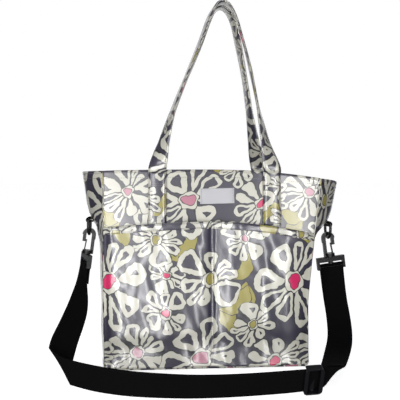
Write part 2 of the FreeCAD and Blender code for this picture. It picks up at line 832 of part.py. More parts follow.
os.makedirs("parts", exist_ok=True)
for node in nodes:
    node.Shape.exportStep(f"parts/{node.Label}.step")
    bounds = node.Shape.BoundBox
    print(f"{node.Label:26s} volume {node.Shape.Volume:10.0f}  "
          f"x {bounds.XMin:7.1f} {bounds.XMax:7.1f}  y {bounds.YMin:7.1f} {bounds.YMax:7.1f}  "
          f"z {bounds.ZMin:7.1f} {bounds.ZMax:7.1f}")
print(len(nodes), "sub-parts")
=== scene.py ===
import math
import random

import bpy
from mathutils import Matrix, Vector, noise
from mathutils.bvhtree import BVHTree


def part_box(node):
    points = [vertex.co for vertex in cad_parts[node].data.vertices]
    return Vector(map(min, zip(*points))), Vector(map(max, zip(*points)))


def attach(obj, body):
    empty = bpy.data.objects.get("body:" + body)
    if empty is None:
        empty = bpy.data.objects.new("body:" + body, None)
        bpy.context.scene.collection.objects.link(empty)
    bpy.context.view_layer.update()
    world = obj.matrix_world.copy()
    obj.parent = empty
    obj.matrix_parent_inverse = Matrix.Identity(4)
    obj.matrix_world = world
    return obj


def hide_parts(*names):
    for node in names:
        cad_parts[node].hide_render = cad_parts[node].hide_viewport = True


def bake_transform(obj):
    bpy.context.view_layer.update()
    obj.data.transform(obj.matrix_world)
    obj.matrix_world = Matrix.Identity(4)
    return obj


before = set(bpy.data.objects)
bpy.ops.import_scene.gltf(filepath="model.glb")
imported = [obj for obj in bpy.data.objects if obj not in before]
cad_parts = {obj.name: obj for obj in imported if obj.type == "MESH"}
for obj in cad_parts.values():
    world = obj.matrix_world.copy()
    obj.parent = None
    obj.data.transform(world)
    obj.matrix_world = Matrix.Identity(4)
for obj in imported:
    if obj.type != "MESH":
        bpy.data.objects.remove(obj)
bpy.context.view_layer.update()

MM = 0.001
scene = bpy.context.scene

# ------------------------------------------------------------------ camera and light

camera_data = bpy.data.cameras.new("camera")
camera = bpy.data.objects.new("camera", camera_data)
scene.collection.objects.link(camera)
camera.location = (-0.0776, -0.9469, 0.300)
camera.rotation_euler = (math.radians(90), 0, math.radians(-4))
camera_data.lens = 52.8
camera_data.sensor_width = 36
camera_data.shift_y = -0.075
camera_data.clip_start = 0.01
scene.camera = camera
scene.view_settings.view_transform = "Standard"

world = bpy.data.worlds.new("world")
scene.world = world
world.use_nodes = True


def area_light(name, place, target, size, power, size_y=None):
    data = bpy.data.lights.new(name, "AREA")
    data.energy = power
    data.size = size
    if size_y:
        data.shape = "RECTANGLE"
        data.size_y = size_y
    light = bpy.data.objects.new(name, data)
    scene.collection.objects.link(light)
    light.location = place
    light.rotation_euler = (Vector(target) - Vector(place)).to_track_quat("-Z", "Y").to_euler()
    return light


area_light("left_strip", (-0.75, -1.20, 0.05), (0, 0, 0.12), 0.10, 12, 1.9)
area_light("middle_strip", (-0.35, -1.60, 0.10), (0, 0, 0.12), 0.12, 13.5, 1.9)
area_light("right_strip", (0.50, -1.40, 0.05), (0, 0, 0.12), 0.09, 11, 1.9)
area_light("top_light", (0.0, -0.5, 1.7), (0, 0, 0.25), 0.7, 3)


def light_the_room():
    """White behind the bag as the camera sees it, dimmer behind the camera, brighter above."""
    tree = world.node_tree
    m = Maths(tree)
    way = m.node("ShaderNodeTexCoord").outputs["Generated"]
    forward = m.vector_dot(way, (0.0698, 0.9960, -0.05))
    white = m.ramp(forward, 0.74, 0.86)
    _, _, up = m.split(way)
    above = m.ramp(up, -0.2, 0.9)
    dim = m.mix(above, (0.06, 0.06, 0.07, 1), (0.24, 0.24, 0.26, 1))
    m.plug(tree.nodes["Background"].inputs["Color"], m.mix(white, dim, (1, 1, 1, 1)))
    tree.nodes["Background"].inputs["Strength"].default_value = 1.0


# ------------------------------------------------------------------ materials

def node_tree_of(name):
    material = bpy.data.materials.new(name)
    material.use_nodes = True
    tree = material.node_tree
    return material, tree, tree.nodes["Principled BSDF"]


def set_shader(shader, **values):
    """Plain numbers and colours on the shader's own sockets; an underscore stands for a space."""
    for name, value in values.items():
        shader.inputs[name.replace("_", " ")].default_value = value


class Maths:
    """Short names for the node chains of a shader tree."""

    def __init__(self, tree):
        self.tree = tree

    def node(self, kind, inputs=(), **settings):
        item = self.tree.nodes.new(kind)
        for key, value in settings.items():
            setattr(item, key, value)
        for socket, value in inputs:
            self.plug(item.inputs[socket], value)
        return item

    def plug(self, socket, value):
        if isinstance(value, bpy.types.NodeSocket):
            self.tree.links.new(value, socket)
        elif value is not None:
            socket.default_value = value

    def do(self, operation, a, b=None, c=None):
        inputs = [(i, v) for i, v in enumerate((a, b, c)) if v is not None]
        return self.node("ShaderNodeMath", inputs, operation=operation).outputs[0]

    def add(self, a, b):
        return self.do("ADD", a, b)

    def sub(self, a, b):
        return self.do("SUBTRACT", a, b)

    def mul(self, a, b):
        return self.do("MULTIPLY", a, b)

    def div(self, a, b):
        return self.do("DIVIDE", a, b)

    def clamp01(self, value):
        item = self.node("ShaderNodeMath", [(0, value), (1, 0.0)], operation="ADD", use_clamp=True)
        return item.outputs[0]

    def ramp(self, value, low, high):
        """0 at low, 1 at high, smooth between."""
        inputs = [("Value", value), ("From Min", low), ("From Max", high)]
        return self.node("ShaderNodeMapRange", inputs, interpolation_type="SMOOTHSTEP").outputs["Result"]

    def vector(self, operation, a, b=None, c=None):
        inputs = [(i, v) for i, v in enumerate((a, b, c)) if v is not None]
        return self.node("ShaderNodeVectorMath", inputs, operation=operation).outputs[0]

    def vector_length(self, vector):
        return self.node("ShaderNodeVectorMath", [(0, vector)], operation="LENGTH").outputs["Value"]

    def vector_dot(self, a, b):
        return self.node("ShaderNodeVectorMath", [(0, a), (1, b)], operation="DOT_PRODUCT").outputs["Value"]

    def split(self, vector):
        return self.node("ShaderNodeSeparateXYZ", [(0, vector)]).outputs

    def join(self, x=0.0, y=0.0, z=0.0):
        return self.node("ShaderNodeCombineXYZ", [(0, x), (1, y), (2, z)]).outputs[0]

    def mix(self, factor, a, b):
        item = self.tree.nodes.new("ShaderNodeMix")
        item.data_type = "RGBA"
        self.plug(item.inputs[0], factor)
        self.plug(item.inputs[6], a)
        self.plug(item.inputs[7], b)
        return item.outputs[2]

    def from_centre(self, use):
        """Where a place lies from the nearest repeat of a motif's centre."""
        half = (TILE[0] / 2, TILE[1] / 2, 1.0)
        offset = self.vector("SUBTRACT", use["Place"], use["Centre"])
        return self.vector("WRAP", offset, half, tuple(-v for v in half))

    def lay(self, group, **values):
        """The colour that a group makes of its inputs."""
        return self.node("ShaderNodeGroup", values.items(), node_tree=group).outputs[0]

    def cloth(self):
        """A point's place on the flat cloth, in metres."""
        return self.node("ShaderNodeAttribute", attribute_name="cloth").outputs["Vector"]

    def bump(self, strength, distance, height, normal=None):
        inputs = [("Strength", strength), ("Distance", distance), ("Height", height), ("Normal", normal)]
        return self.node("ShaderNodeBump", inputs).outputs[0]

    def chance(self, x, y=0.0):
        """A number from 0 to 1 that goes with a place."""
        place = self.join(x, y, 0.0)
        return self.node("ShaderNodeTexWhiteNoise", [("Vector", place)], noise_dimensions="3D").outputs["Value"]


def new_group(name, **inputs):
    """A group of nodes that makes a colour; each input's kind is Color, Vector or Float."""
    group = bpy.data.node_groups.new(name, "ShaderNodeTree")
    for label, kind in inputs.items():
        group.interface.new_socket(label, in_out="INPUT", socket_type=f"NodeSocket{kind}")
    group.interface.new_socket("Color", in_out="OUTPUT", socket_type="NodeSocketColor")
    start = group.nodes.new("NodeGroupInput")
    end = group.nodes.new("NodeGroupOutput")
    return group, Maths(group), start.outputs, end.inputs


GROUND = (0.029, 0.026, 0.045, 1)
CREAM = (0.50, 0.49, 0.42, 1)
INK = (0.010, 0.011, 0.012, 1)
OLIVE = (0.28, 0.245, 0.05, 1)
MAGENTA = (0.50, 0.012, 0.092, 1)
PALE_PINK = (0.40, 0.15, 0.21, 1)
TILE = (0.280, 0.235)


def flower_group():
    """One hand-drawn flower laid over a colour: ring-shaped petals, a pale disc and a coloured heart."""
    group, m, use, give = new_group(
        "flower", Under="Color", Place="Vector", Centre="Vector", Radius="Float", Petals="Float", Turn="Float",
        Seed="Float", Heart="Color", Rim="Float")
    radius, petals, seed, rim = use["Radius"], use["Petals"], use["Seed"], use["Rim"]
    offset = m.from_centre(use)
    x, y, _ = m.split(offset)
    far = m.do("SQRT", m.add(m.mul(x, x), m.mul(y, y)))
    angle = m.add(m.do("ARCTAN2", y, x), use["Turn"])
    uneven = m.mul(m.do("SINE", m.add(m.mul(angle, 2.0), seed)), 0.22)
    angle = m.add(angle, uneven)
    uneven = m.mul(m.do("SINE", m.add(m.mul(angle, 3.0), m.mul(seed, 2.3))), 0.09)
    angle = m.add(angle, uneven)
    sector = m.div(m.mul(angle, petals), math.tau)
    which = m.do("ROUND", sector)
    # Opposite ends of the sweep are the same petal.
    name = m.do("WRAP", which, petals, 0.0)
    name = m.add(m.do("ROUND", name), m.mul(seed, 17.0))
    luck, luck_two = m.chance(name, 1.5), m.chance(name, 7.5)
    lean = m.mul(m.sub(sector, which), m.div(math.tau, petals))
    along = m.mul(far, m.do("COSINE", lean))
    beside = m.mul(far, m.do("SINE", lean))
    reach = m.mul(radius, m.add(m.mul(luck, 0.34), 0.72))
    start = m.mul(radius, 0.16)
    share = m.div(m.sub(along, start), m.sub(reach, start))
    share = m.clamp01(share)
    swell = m.do("POWER", share, m.add(m.mul(luck_two, 0.5), 0.75))
    tip = m.do("POWER", m.sub(1.0, m.do("POWER", share, 5.0)), 0.55)
    widest = m.mul(m.mul(reach, math.pi), m.div(0.97, petals))
    wide = m.mul(m.mul(swell, tip), widest)
    wide = m.add(wide, m.mul(m.sub(1.0, share), 0.0006))
    inside = m.sub(wide, m.do("ABSOLUTE", beside))
    beyond = m.sub(reach, along)
    inside = m.do("MINIMUM", inside, beyond)
    before = m.sub(along, m.mul(start, 0.8))
    inside = m.do("MINIMUM", inside, before)
    hollow_rim = m.mul(rim, m.add(m.mul(luck_two, 0.5), 0.75))
    cream = m.ramp(inside, 0.0001, 0.0005)
    ink = m.ramp(inside, -0.0013, -0.0009)
    deep = m.sub(inside, hollow_rim)
    # The hollow starts well out from the heart and stops short of the tip.
    deep = m.do("MINIMUM", deep, m.sub(along, m.mul(radius, 0.30)))
    deep = m.do("MINIMUM", deep, m.sub(beyond, m.mul(hollow_rim, 1.1)))
    hollow = m.ramp(deep, 0.0, 0.0005)
    hollow_ink = m.ramp(deep, -0.0009, -0.0005)
    colour = m.mix(ink, use["Under"], INK)
    colour = m.mix(cream, colour, CREAM)
    colour = m.mix(hollow_ink, colour, INK)
    colour = m.mix(hollow, colour, GROUND)
    wave = m.do("SINE", m.add(m.mul(angle, 5.0), m.mul(seed, 5.0)))
    disc = m.mul(radius, m.add(m.mul(wave, 0.018), 0.215))
    disc = m.sub(disc, far)
    colour = m.mix(m.ramp(disc, -0.0012, -0.0008), colour, INK)
    colour = m.mix(m.ramp(disc, 0.0001, 0.0005), colour, CREAM)
    shift = m.vector("ADD", offset, (0.0, -0.0005, 0.0))
    hx, hy, _ = m.split(shift)
    around = m.do("ARCTAN2", hy, hx)
    lobe = m.do("SINE", m.add(m.mul(around, 2.0), m.mul(seed, 3.0)))
    lobe_two = m.do("SINE", m.add(m.mul(around, 3.0), seed))
    heart = m.add(m.mul(lobe, 0.022), m.mul(lobe_two, 0.012))
    heart = m.mul(radius, m.add(heart, 0.135))
    heart = m.sub(heart, m.vector_length(shift))
    colour = m.mix(m.ramp(heart, -0.0011, -0.0007), colour, INK)
    colour = m.mix(m.ramp(heart, 0.0, 0.0004), colour, use["Heart"])
    m.plug(give["Color"], colour)
    return group


def leaf_group():
    """One flat leaf with a thin dark line round it, laid over a colour."""
    group, m, use, give = new_group(
        "leaf", Under="Color", Place="Vector", Centre="Vector", Length="Float", Width="Float", Turn="Float",
        Bend="Float")
    offset = m.from_centre(use)
    x, y, _ = m.split(offset)
    cosine, sine = m.do("COSINE", use["Turn"]), m.do("SINE", use["Turn"])
    along = m.add(m.mul(x, cosine), m.mul(y, sine))
    beside = m.sub(m.mul(y, cosine), m.mul(x, sine))
    share = m.div(along, use["Length"])
    square = m.mul(share, share)
    beside = m.add(beside, m.mul(m.mul(square, use["Bend"]), use["Length"]))
    wide = m.mul(use["Width"], m.sub(1.0, m.do("POWER", m.do("ABSOLUTE", share), 2.6)))
    inside = m.sub(wide, m.do("ABSOLUTE", beside))
    colour = m.mix(m.ramp(inside, -0.0012, -0.0008), use["Under"], INK)
    colour = m.mix(m.ramp(inside, 0.0, 0.0005), colour, OLIVE)
    m.plug(give["Color"], colour)
    return group


def scattered(draws, sizes):
    """Places in the repeat for round motifs, each put where it has the most room left."""
    placed = []
    for size in sizes:
        best, most = None, -1.0
        for _ in range(600):
            x, y = draws.uniform(0, TILE[0]), draws.uniform(0, TILE[1])
            room = 1.0
            for other_x, other_y, other in placed:
                across = (x - other_x + TILE[0] / 2) % TILE[0] - TILE[0] / 2
                up = (y - other_y + TILE[1] / 2) % TILE[1] - TILE[1] / 2
                room = min(room, math.hypot(across, up) - other - size)
            if room > most:
                best, most = (x, y), room
        placed.append((*best, size))
    return placed


# The print is a plain floral: flowers of falling size, then small leaves, strewn by a seeded draw.
DRAWS = random.Random(11)
FLOWER_SIZES = [0.074, 0.066, 0.054, 0.048, 0.046, 0.044, 0.040, 0.038, 0.034, 0.030]
HEARTS = ("pink", "pale", "olive")
STREWN = scattered(DRAWS, FLOWER_SIZES + [0.014] * 7)
FLOWERS = [(x, y, size, DRAWS.randint(8, 10), DRAWS.uniform(0.0, 2.0), HEARTS[index % 3])
           for index, (x, y, size) in enumerate(STREWN[:len(FLOWER_SIZES)])]
FLOWERS.sort(key=lambda flower: flower[2])
LEAVES = [(x, y, DRAWS.uniform(0.018, 0.032), DRAWS.uniform(0.010, 0.014), DRAWS.uniform(-0.7, 1.6),
           DRAWS.choice((-0.4, 0.4))) for x, y, _ in STREWN[len(FLOWER_SIZES):]]


def print_group():
    """The whole printed pattern from a place on the cloth, in metres."""
    group, m, use, give = new_group("printed_pattern", Place="Vector")
    flower, leaf = flower_group(), leaf_group()
    wobble = m.node("ShaderNodeTexNoise", [("Vector", use["Place"]), ("Scale", 38.0), ("Detail", 1.0)])
    wobble = m.vector("SUBTRACT", wobble.outputs["Color"], (0.5, 0.5, 0.5))
    place = m.vector("ADD", use["Place"], m.vector("MULTIPLY", wobble, (0.013, 0.013, 0.0)))
    fine = m.node("ShaderNodeTexNoise", [("Vector", use["Place"]), ("Scale", 160.0), ("Detail", 0.0)])
    fine = m.vector("SUBTRACT", fine.outputs["Color"], (0.5, 0.5, 0.5))
    place = m.vector("ADD", place, m.vector("MULTIPLY", fine, (0.0030, 0.0030, 0.0)))
    flat = m.split(place)
    place = m.join(flat[0], flat[1], 0.0)
    colour = m.node("ShaderNodeRGB").outputs[0]
    colour.default_value = GROUND
    for x, y, long, wide, turn, bend in LEAVES:
        colour = m.lay(leaf, Under=colour, Place=place, Centre=(x, y, 0), Length=long, Width=wide, Turn=turn,
                       Bend=bend)
    hearts = {"pink": MAGENTA, "pale": PALE_PINK, "olive": OLIVE}
    for index, (x, y, radius, petals, turn, heart) in enumerate(FLOWERS):
        colour = m.lay(flower, Under=colour, Place=place, Centre=(x, y, 0), Radius=radius, Petals=float(petals),
                       Turn=turn, Seed=0.7 + 1.3 * index, Heart=hearts[heart], Rim=0.0032 + 0.078 * radius)
    m.plug(give["Color"], colour)
    return group


light_the_room()
PRINT = print_group()


def weave_height(m, place, pitch):
    """A plain weave's height from a place on the cloth."""
    x, y, _ = m.split(place)
    wave = math.tau / pitch
    one = m.do("SINE", m.mul(x, wave))
    two = m.do("SINE", m.mul(y, wave))
    return m.mul(one, two)


def printed_cloth(name, shift):
    material, tree, shader = node_tree_of(name)
    m = Maths(tree)
    cloth = m.cloth()
    m.plug(shader.inputs["Base Color"], m.lay(PRINT, Place=m.vector("ADD", cloth, (*shift, 0.0))))
    set_shader(shader, Roughness=0.40, Specular_IOR_Level=0.5, Coat_Weight=1.0, Coat_Roughness=0.21,
               Coat_IOR=1.65)
    crinkle = m.node("ShaderNodeTexNoise", [("Vector", cloth), ("Scale", 60.0), ("Detail", 3.0)])
    bump = m.bump(0.10, 0.001, crinkle.outputs[0])
    m.plug(shader.inputs["Normal"], m.bump(0.06, 0.0002, weave_height(m, cloth, 0.0007), bump))
    return material


def plain(name, colour, roughness, specular=0.5, weave=0.0, metal=0.0):
    material, tree, shader = node_tree_of(name)
    set_shader(shader, Base_Color=(*colour, 1), Roughness=roughness, Specular_IOR_Level=specular,
               Metallic=metal)
    if weave:
        m = Maths(tree)
        m.plug(shader.inputs["Normal"], m.bump(0.5, weave * 0.3, weave_height(m, m.cloth(), weave)))
    return material


def webbing(name):
    """Black webbing: ribs along its length and a herringbone of yarns across them; its colour carries painted shading,
    darker where the weave lies low.
    """
    material, tree, shader = node_tree_of(name)
    m = Maths(tree)
    x, y, _ = m.split(m.cloth())
    rib = m.do("ABSOLUTE", m.do("SINE", m.mul(y, math.pi / 0.0017)))
    slant = m.do("PINGPONG", y, 0.0017)
    yarn = m.do("ABSOLUTE", m.do("SINE", m.mul(m.add(x, slant), math.pi / 0.0013)))
    height = m.add(m.mul(rib, 0.6), m.mul(yarn, 0.5))
    m.plug(shader.inputs["Normal"], m.bump(0.55, 0.0005, height))
    # Painted shading: the black is darker where the weave lies low, as if its grooves were shaded, and lighter on the
    # crests.
    painted_groove_shade = m.ramp(height, 0.1, 1.1)
    m.plug(shader.inputs["Base Color"], m.mix(painted_groove_shade, (0.0003, 0.0003, 0.0004, 1), (0.0018, 0.0018, 0.0022, 1)))
    set_shader(shader, Roughness=0.85, Specular_IOR_Level=0.07)
    return material


def moulded(name):
    material, tree, shader = node_tree_of(name)
    m = Maths(tree)
    place = m.node("ShaderNodeTexCoord").outputs["Object"]
    grain = m.node("ShaderNodeTexNoise", [("Vector", place), ("Scale", 2600.0), ("Detail", 1.0)])
    edge = m.node("ShaderNodeBevel", [("Radius", 0.0007)], samples=4)
    m.plug(shader.inputs["Normal"], m.bump(0.12, 0.0001, grain.outputs[0], edge.outputs[0]))
    set_shader(shader, Base_Color=(0.004, 0.004, 0.005, 1), Roughness=0.36, Specular_IOR_Level=0.3)
    return material


BODY_PRINT = printed_cloth("printed_body", (0.02, 0.0))
POCKET_PRINT = printed_cloth("printed_pocket", (0.0, 0.0))
SIDE_PRINT = printed_cloth("printed_sides", (0.05, 0.12))
HANDLE_PRINT = printed_cloth("printed_handles", (0.12, 0.15))
BASE_PRINT = printed_cloth("printed_base", (0.14, 0.09))
LINING = plain("lining_cloth", (0.30, 0.29, 0.34), 0.7, 0.25, 0.0012)
WEBBING = webbing("black_webbing")
THREAD = plain("thread", (0.13, 0.12, 0.15), 0.6, 0.3)
LABEL = plain("label_satin", (0.47, 0.47, 0.49), 0.42, 0.4, 0.0006)
PLASTIC = moulded("black_plastic")
BOARD = plain("board_plastic", (0.06, 0.06, 0.065), 0.6, 0.3)
SNAP = plain("snap_steel", (0.55, 0.55, 0.57), 0.3, 0.5, 0.0, 1.0)
ELASTIC = plain("elastic_cloth", (0.24, 0.23, 0.28), 0.8, 0.2, 0.0016)


def lay_floor():
    """A plain pale floor under the bag, lit from within so that it reads white, as paper on a light table."""
    reach, below = 12.0, -0.0006
    mesh = bpy.data.meshes.new("studio_floor")
    mesh.from_pydata([(-reach, -reach, below), (reach, -reach, below), (reach, reach, below),
                      (-reach, reach, below)], [], [(0, 1, 2, 3)])
    floor = bpy.data.objects.new("studio_floor", mesh)
    scene.collection.objects.link(floor)
    material, _, shader = node_tree_of("studio_floor")
    set_shader(shader, Base_Color=(0.80, 0.80, 0.80, 1), Roughness=1.0, Specular_IOR_Level=0.0,
               Emission_Color=(1.0, 1.0, 1.0, 1), Emission_Strength=0.80)
    mesh.materials.append(material)
    # The floor takes the bag's shadow but neither lights it nor shades the tall lights.
    floor.visible_diffuse = False
    floor.visible_glossy = False
    floor.visible_shadow = False


# ------------------------------------------------------------------ meshes

def make_object(name, points, faces, cloth, material):
    """A smooth mesh piece. Cloth gives each point's place on the flat cloth, in metres."""
    mesh = bpy.data.meshes.new(name)
    mesh.from_pydata([tuple(p) for p in points], [], faces)
    mesh.validate()
    attribute = mesh.attributes.new("cloth", "FLOAT_VECTOR", "POINT")
    flat = [value for place in cloth for value in (place[0], place[1], 0.0)]
    attribute.data.foreach_set("vector", flat)
    for polygon in mesh.polygons:
        polygon.use_smooth = True
    mesh.materials.append(material)
    item = bpy.data.objects.new(name, mesh)
    scene.collection.objects.link(item)
    return item


def grid_normals(rows, closed):
    """Unit normals of a grid of points, by differences between neighbours."""
    high, wide = len(rows), len(rows[0])
    normals = []
    for r in range(high):
        line = []
        for c in range(wide):
            left, right = (c - 1, (c + 1) % wide) if closed else (max(c - 1, 0), min(c + 1, wide - 1))
            across = rows[r][right] - rows[r][left]
            up = rows[min(r + 1, high - 1)][c] - rows[max(r - 1, 0)][c]
            line.append(across.cross(up).normalized())
        normals.append(line)
    return normals


def shell(name, rows, cloth, thickness, material, closed=False, flip=False):
    """A sheet of cloth with both faces and rounded edges, laid behind a grid of points."""
    high, wide = len(rows), len(rows[0])
    normals = grid_normals(rows, closed)
    sign = 1 if flip else -1
    points = [p for row in rows for p in row]
    places = [p for row in cloth for p in row]
    back = [p + n * (sign * thickness) for row, line in zip(rows, normals) for p, n in zip(row, line)]
    count = len(points)
    columns = wide if closed else wide - 1
    faces = []
    for r in range(high - 1):
        for c in range(columns):
            a, b = r * wide + c, r * wide + (c + 1) % wide
            quad = (a, b, b + wide, a + wide)
            rear = tuple(i + count for i in reversed(quad))
            faces.append(quad if not flip else quad[::-1])
            faces.append(rear if not flip else rear[::-1])
    points += back
    places += places

    def edge(loop, inner):
        start = len(points)
        for i, j in zip(loop, inner):
            out = (points[i] - points[j]).normalized() * (thickness * 0.45)
            points.append((points[i] + points[i + count]) / 2 + out)
            places.append(places[i])
        for k in range(len(loop)):
            n = (k + 1) % len(loop)
            one = (loop[n], loop[k], start + k, start + n)
            two = (start + n, start + k, loop[k] + count, loop[n] + count)
            faces.append(one[::-1] if flip else one)
            faces.append(two[::-1] if flip else two)

    if closed:
        edge(list(range(wide)), list(range(wide, 2 * wide)))
        top = (high - 1) * wide
        edge([top + c for c in reversed(range(wide))], [top - wide + c for c in reversed(range(wide))])
    else:
        loop = list(range(wide)) + [r * wide + wide - 1 for r in range(1, high)]
        loop += [(high - 1) * wide + c for c in reversed(range(wide - 1))]
        loop += [r * wide for r in reversed(range(1, high - 1))]
        inner = []
        for i in loop:
            r, c = divmod(i, wide)
            inner.append(min(max(r, 1), high - 2) * wide + min(max(c, 1), wide - 2))
        edge(loop, inner)
    return make_object(name, points, faces, places, material)


def runs_along(places):
    """How far along a line each of its places is."""
    runs = [0.0]
    for before, after in zip(places, places[1:]):
        runs.append(runs[-1] + (after - before).length)
    return runs


def ways_along(places):
    """The direction of a line at each of its places."""
    last = len(places) - 1
    return [(places[min(i + 1, last)] - places[max(i - 1, 0)]).normalized() for i in range(last + 1)]


def stitch_row(name, path, outs, pitch, width=0.0007):
    """A row of machine stitches along a line of points; outs is the way out of the cloth at each."""
    points, faces, places = [], [], []
    lengths = runs_along(path)
    count = max(1, int(lengths[-1] / pitch))
    spot = 0
    for k in range(count):
        middle = (k + 0.5) * lengths[-1] / count
        while spot < len(path) - 2 and lengths[spot + 1] < middle:
            spot += 1
        share = (middle - lengths[spot]) / max(lengths[spot + 1] - lengths[spot], 1e-9)
        centre = path[spot].lerp(path[spot + 1], share)
        out = outs[spot].lerp(outs[spot + 1], share).normalized()
        way = (path[spot + 1] - path[spot]).normalized()
        side = way.cross(out).normalized()
        half = way * (0.36 * lengths[-1] / count)
        start = len(points)
        for shift, fat, lift in ((-1.0, 0.3, -0.1), (-0.6, 1.0, 0.25), (0.6, 1.0, 0.25), (1.0, 0.3, -0.1)):
            for turn in range(5):
                angle = math.tau * turn / 5
                ring = side * math.cos(angle) + out * math.sin(angle)
                points.append(centre + half * shift + ring * (width / 2 * fat) + out * (lift * width))
                places.append((centre.x, centre.z))
        for level in range(3):
            for turn in range(5):
                a = start + level * 5 + turn
                b = start + level * 5 + (turn + 1) % 5
                faces.append((a, b, b + 5, a + 5))
        faces.append(tuple(start + turn for turn in reversed(range(5))))
        faces.append(tuple(start + 15 + turn for turn in range(5)))
    return make_object(name, points, faces, places, THREAD)


def joined(name, items):
    """Several mesh pieces as one."""
    bpy.ops.object.select_all(action="DESELECT")
    for item in items:
        item.select_set(True)
    bpy.context.view_layer.objects.active = items[0]
    bpy.ops.object.join()
    items[0].name = name
    return items[0]


def smooth_path(points, spacing):
    """A smooth line through points, with places about the spacing apart, and each place's index."""
    places, indexes = [], []
    for i in range(len(points) - 1):
        p0 = points[max(i - 1, 0)]
        p1, p2 = points[i], points[i + 1]
        p3 = points[min(i + 2, len(points) - 1)]
        steps = max(2, int((p2 - p1).length / spacing))
        for k in range(steps):
            t = k / steps
            a = p1 * 2 + (p2 - p0) * t
            b = (p0 * 2 - p1 * 5 + p2 * 4 - p3) * (t * t)
            c = (p1 * 3 - p0 - p2 * 3 + p3) * (t * t * t)
            places.append((a + b + c) / 2)
            indexes.append(i + t)
    places.append(points[-1])
    indexes.append(len(points) - 1.0)
    return places, indexes


def blended(values, index):
    low = min(int(index), len(values) - 2)
    share = index - low
    return values[low] * (1 - share) + values[low + 1] * share


def level(table, z):
    """A value read from (height, value) pairs, in millimetres, straight between them."""
    for (z0, v0), (z1, v1) in zip(table, table[1:]):
        if z <= z1 or (z1, v1) == table[-1]:
            share = min(max((z - z0) / (z1 - z0), 0), 1)
            return v0 + (v1 - v0) * share
    return table[-1][1]


def ripple(x, y, z, pitch):
    return noise.noise(Vector((x / pitch, y / pitch, z / pitch)))


# ------------------------------------------------------------------ the bag's shape, in millimetres

FRONT_LEFT = [(0, -158), (100, -161), (216, -161), (300, -162)]
FRONT_RIGHT = [(0, 149), (100, 150), (200, 161), (300, 174)]
SIDE_LEFT = [(0, -164), (60, -169), (120, -170), (190, -172), (214, -177), (222, -183), (234, -189),
             (250, -193), (300, -199)]
SIDE_RIGHT = [(0, 157), (60, 160), (120, 162), (185, 171), (203, 178), (213, 187), (218, 191),
              (228, 198), (245, 203), (300, 214)]
DEPTH = [(0, 59), (120, 60), (216, 58), (300, 53)]
DEPTH_FRONT = [(0, 68), (30, 65), (120, 61), (216, 58), (300, 53)]
RIM = 300
AROUND = 160


def rim_height(turn):
    """The rim sags a little to each side; turn runs 0 to 4 round the bag from the left front seam."""
    if turn <= 1 or 2 <= turn <= 3:
        share = turn if turn <= 1 else 3 - turn
        off = (share - 0.45) / 0.55
        return RIM - (14 if off > 0 else 3) * abs(off) ** 2.2
    share = turn - 1 if turn < 2 else turn - 3
    apex = 1 - abs(2 * share - 1)
    seam, peak = (286, 279) if turn < 2 else (298, 296.5)
    return seam + (peak - seam) * apex


def wall(turn, z, inset=0.0):
    """A place on the bag's wall, in millimetres, at a height as drawn before the rim sags."""
    faces_front = turn < 1.5 or turn > 3.5
    depth = level(DEPTH_FRONT if faces_front else DEPTH, z) - inset
    left, right = level(FRONT_LEFT, z), level(FRONT_RIGHT, z)
    if turn <= 1 or 2 <= turn <= 3:
        share = turn if turn <= 1 else 3 - turn
        x = left + inset + (right - left - 2 * inset) * share
        front = -1 if turn <= 1 else 1
        swell = 4 * share * (1 - share)
        belly = 2.5 * swell * math.sin(math.pi * min(z / RIM, 1)) + 0.9 * ripple(x, 40 * front, z, 70)
        y = front * (depth + belly)
        return Vector((x, y, z))
    share = turn - 1 if turn < 2 else turn - 3
    run = 2 * share - 1
    seam, apex = (right, level(SIDE_RIGHT, z)) if turn < 2 else (left, level(SIDE_LEFT, z))
    bow = 1 - abs(run) ** 1.7
    x = seam + (apex - seam) * bow
    y = run * depth if turn < 2 else -run * depth
    fold = 1.6 * ripple(x * 0.3, y * 1.4, z, 55) * (1 - abs(run) ** 4)
    side = 1 if turn < 2 else -1
    return Vector((x + side * (fold - inset), y, z))


def front_share(x, z):
    """Where x lies between the two front seams, 0 to 1."""
    left, right = level(FRONT_LEFT, z), level(FRONT_RIGHT, z)
    return (x - left) / (right - left)


def front_face(x, z):
    """The front panel's depth at a place on it, in millimetres."""
    return wall(front_share(x, z), z).y


BOTTOM = 7.0


def sagged(turn, share, inset=0.0, low=BOTTOM, drop=0.0):
    """A place on the wall by its share of the height from a low level to the rim, less a drop."""
    z = low + (RIM - drop - low) * share
    place = wall(turn, z, inset)
    sag = (RIM - rim_height(turn)) * max(0, (z - 150) / 150) ** 1.3
    place.z -= sag
    return place * MM


def wall_rows(first, last, columns, rows):
    """A panel's grid of points, and their places on the flat cloth, measured from its middle."""
    grid, cloth = [], []
    for r in range(rows + 1):
        line = [sagged(first + (last - first) * c / columns, r / rows) for c in range(columns + 1)]
        grid.append(line)
        runs = [0.0]
        for before, place in zip(line, line[1:]):
            runs.append(runs[-1] + math.hypot(place.x - before.x, place.y - before.y))
        middle = runs[len(runs) // 2]
        cloth.append([(run - middle, place.z) for run, place in zip(runs, line)])
    return grid, cloth


def keep_on(item, body, *nodes):
    if nodes:
        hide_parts(*nodes)
    if body:
        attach(item, body)
    return item


for node, first, columns, high, material in (
        ("front_panel", 0, 90, 80, BODY_PRINT), ("back_panel", 2, 60, 60, BODY_PRINT),
        ("right_gusset", 1, 36, 80, SIDE_PRINT), ("left_gusset", 3, 36, 80, SIDE_PRINT)):
    rows, cloth = wall_rows(first, first + 1, columns, high)
    keep_on(shell(f"{node}_cloth", rows, cloth, 0.0022, material), "root", node)


def round_row(share, inset, low, drop):
    """Points right round the bag's wall at one height."""
    return [sagged(4 * c / AROUND, share, inset, low, drop) for c in range(AROUND)]


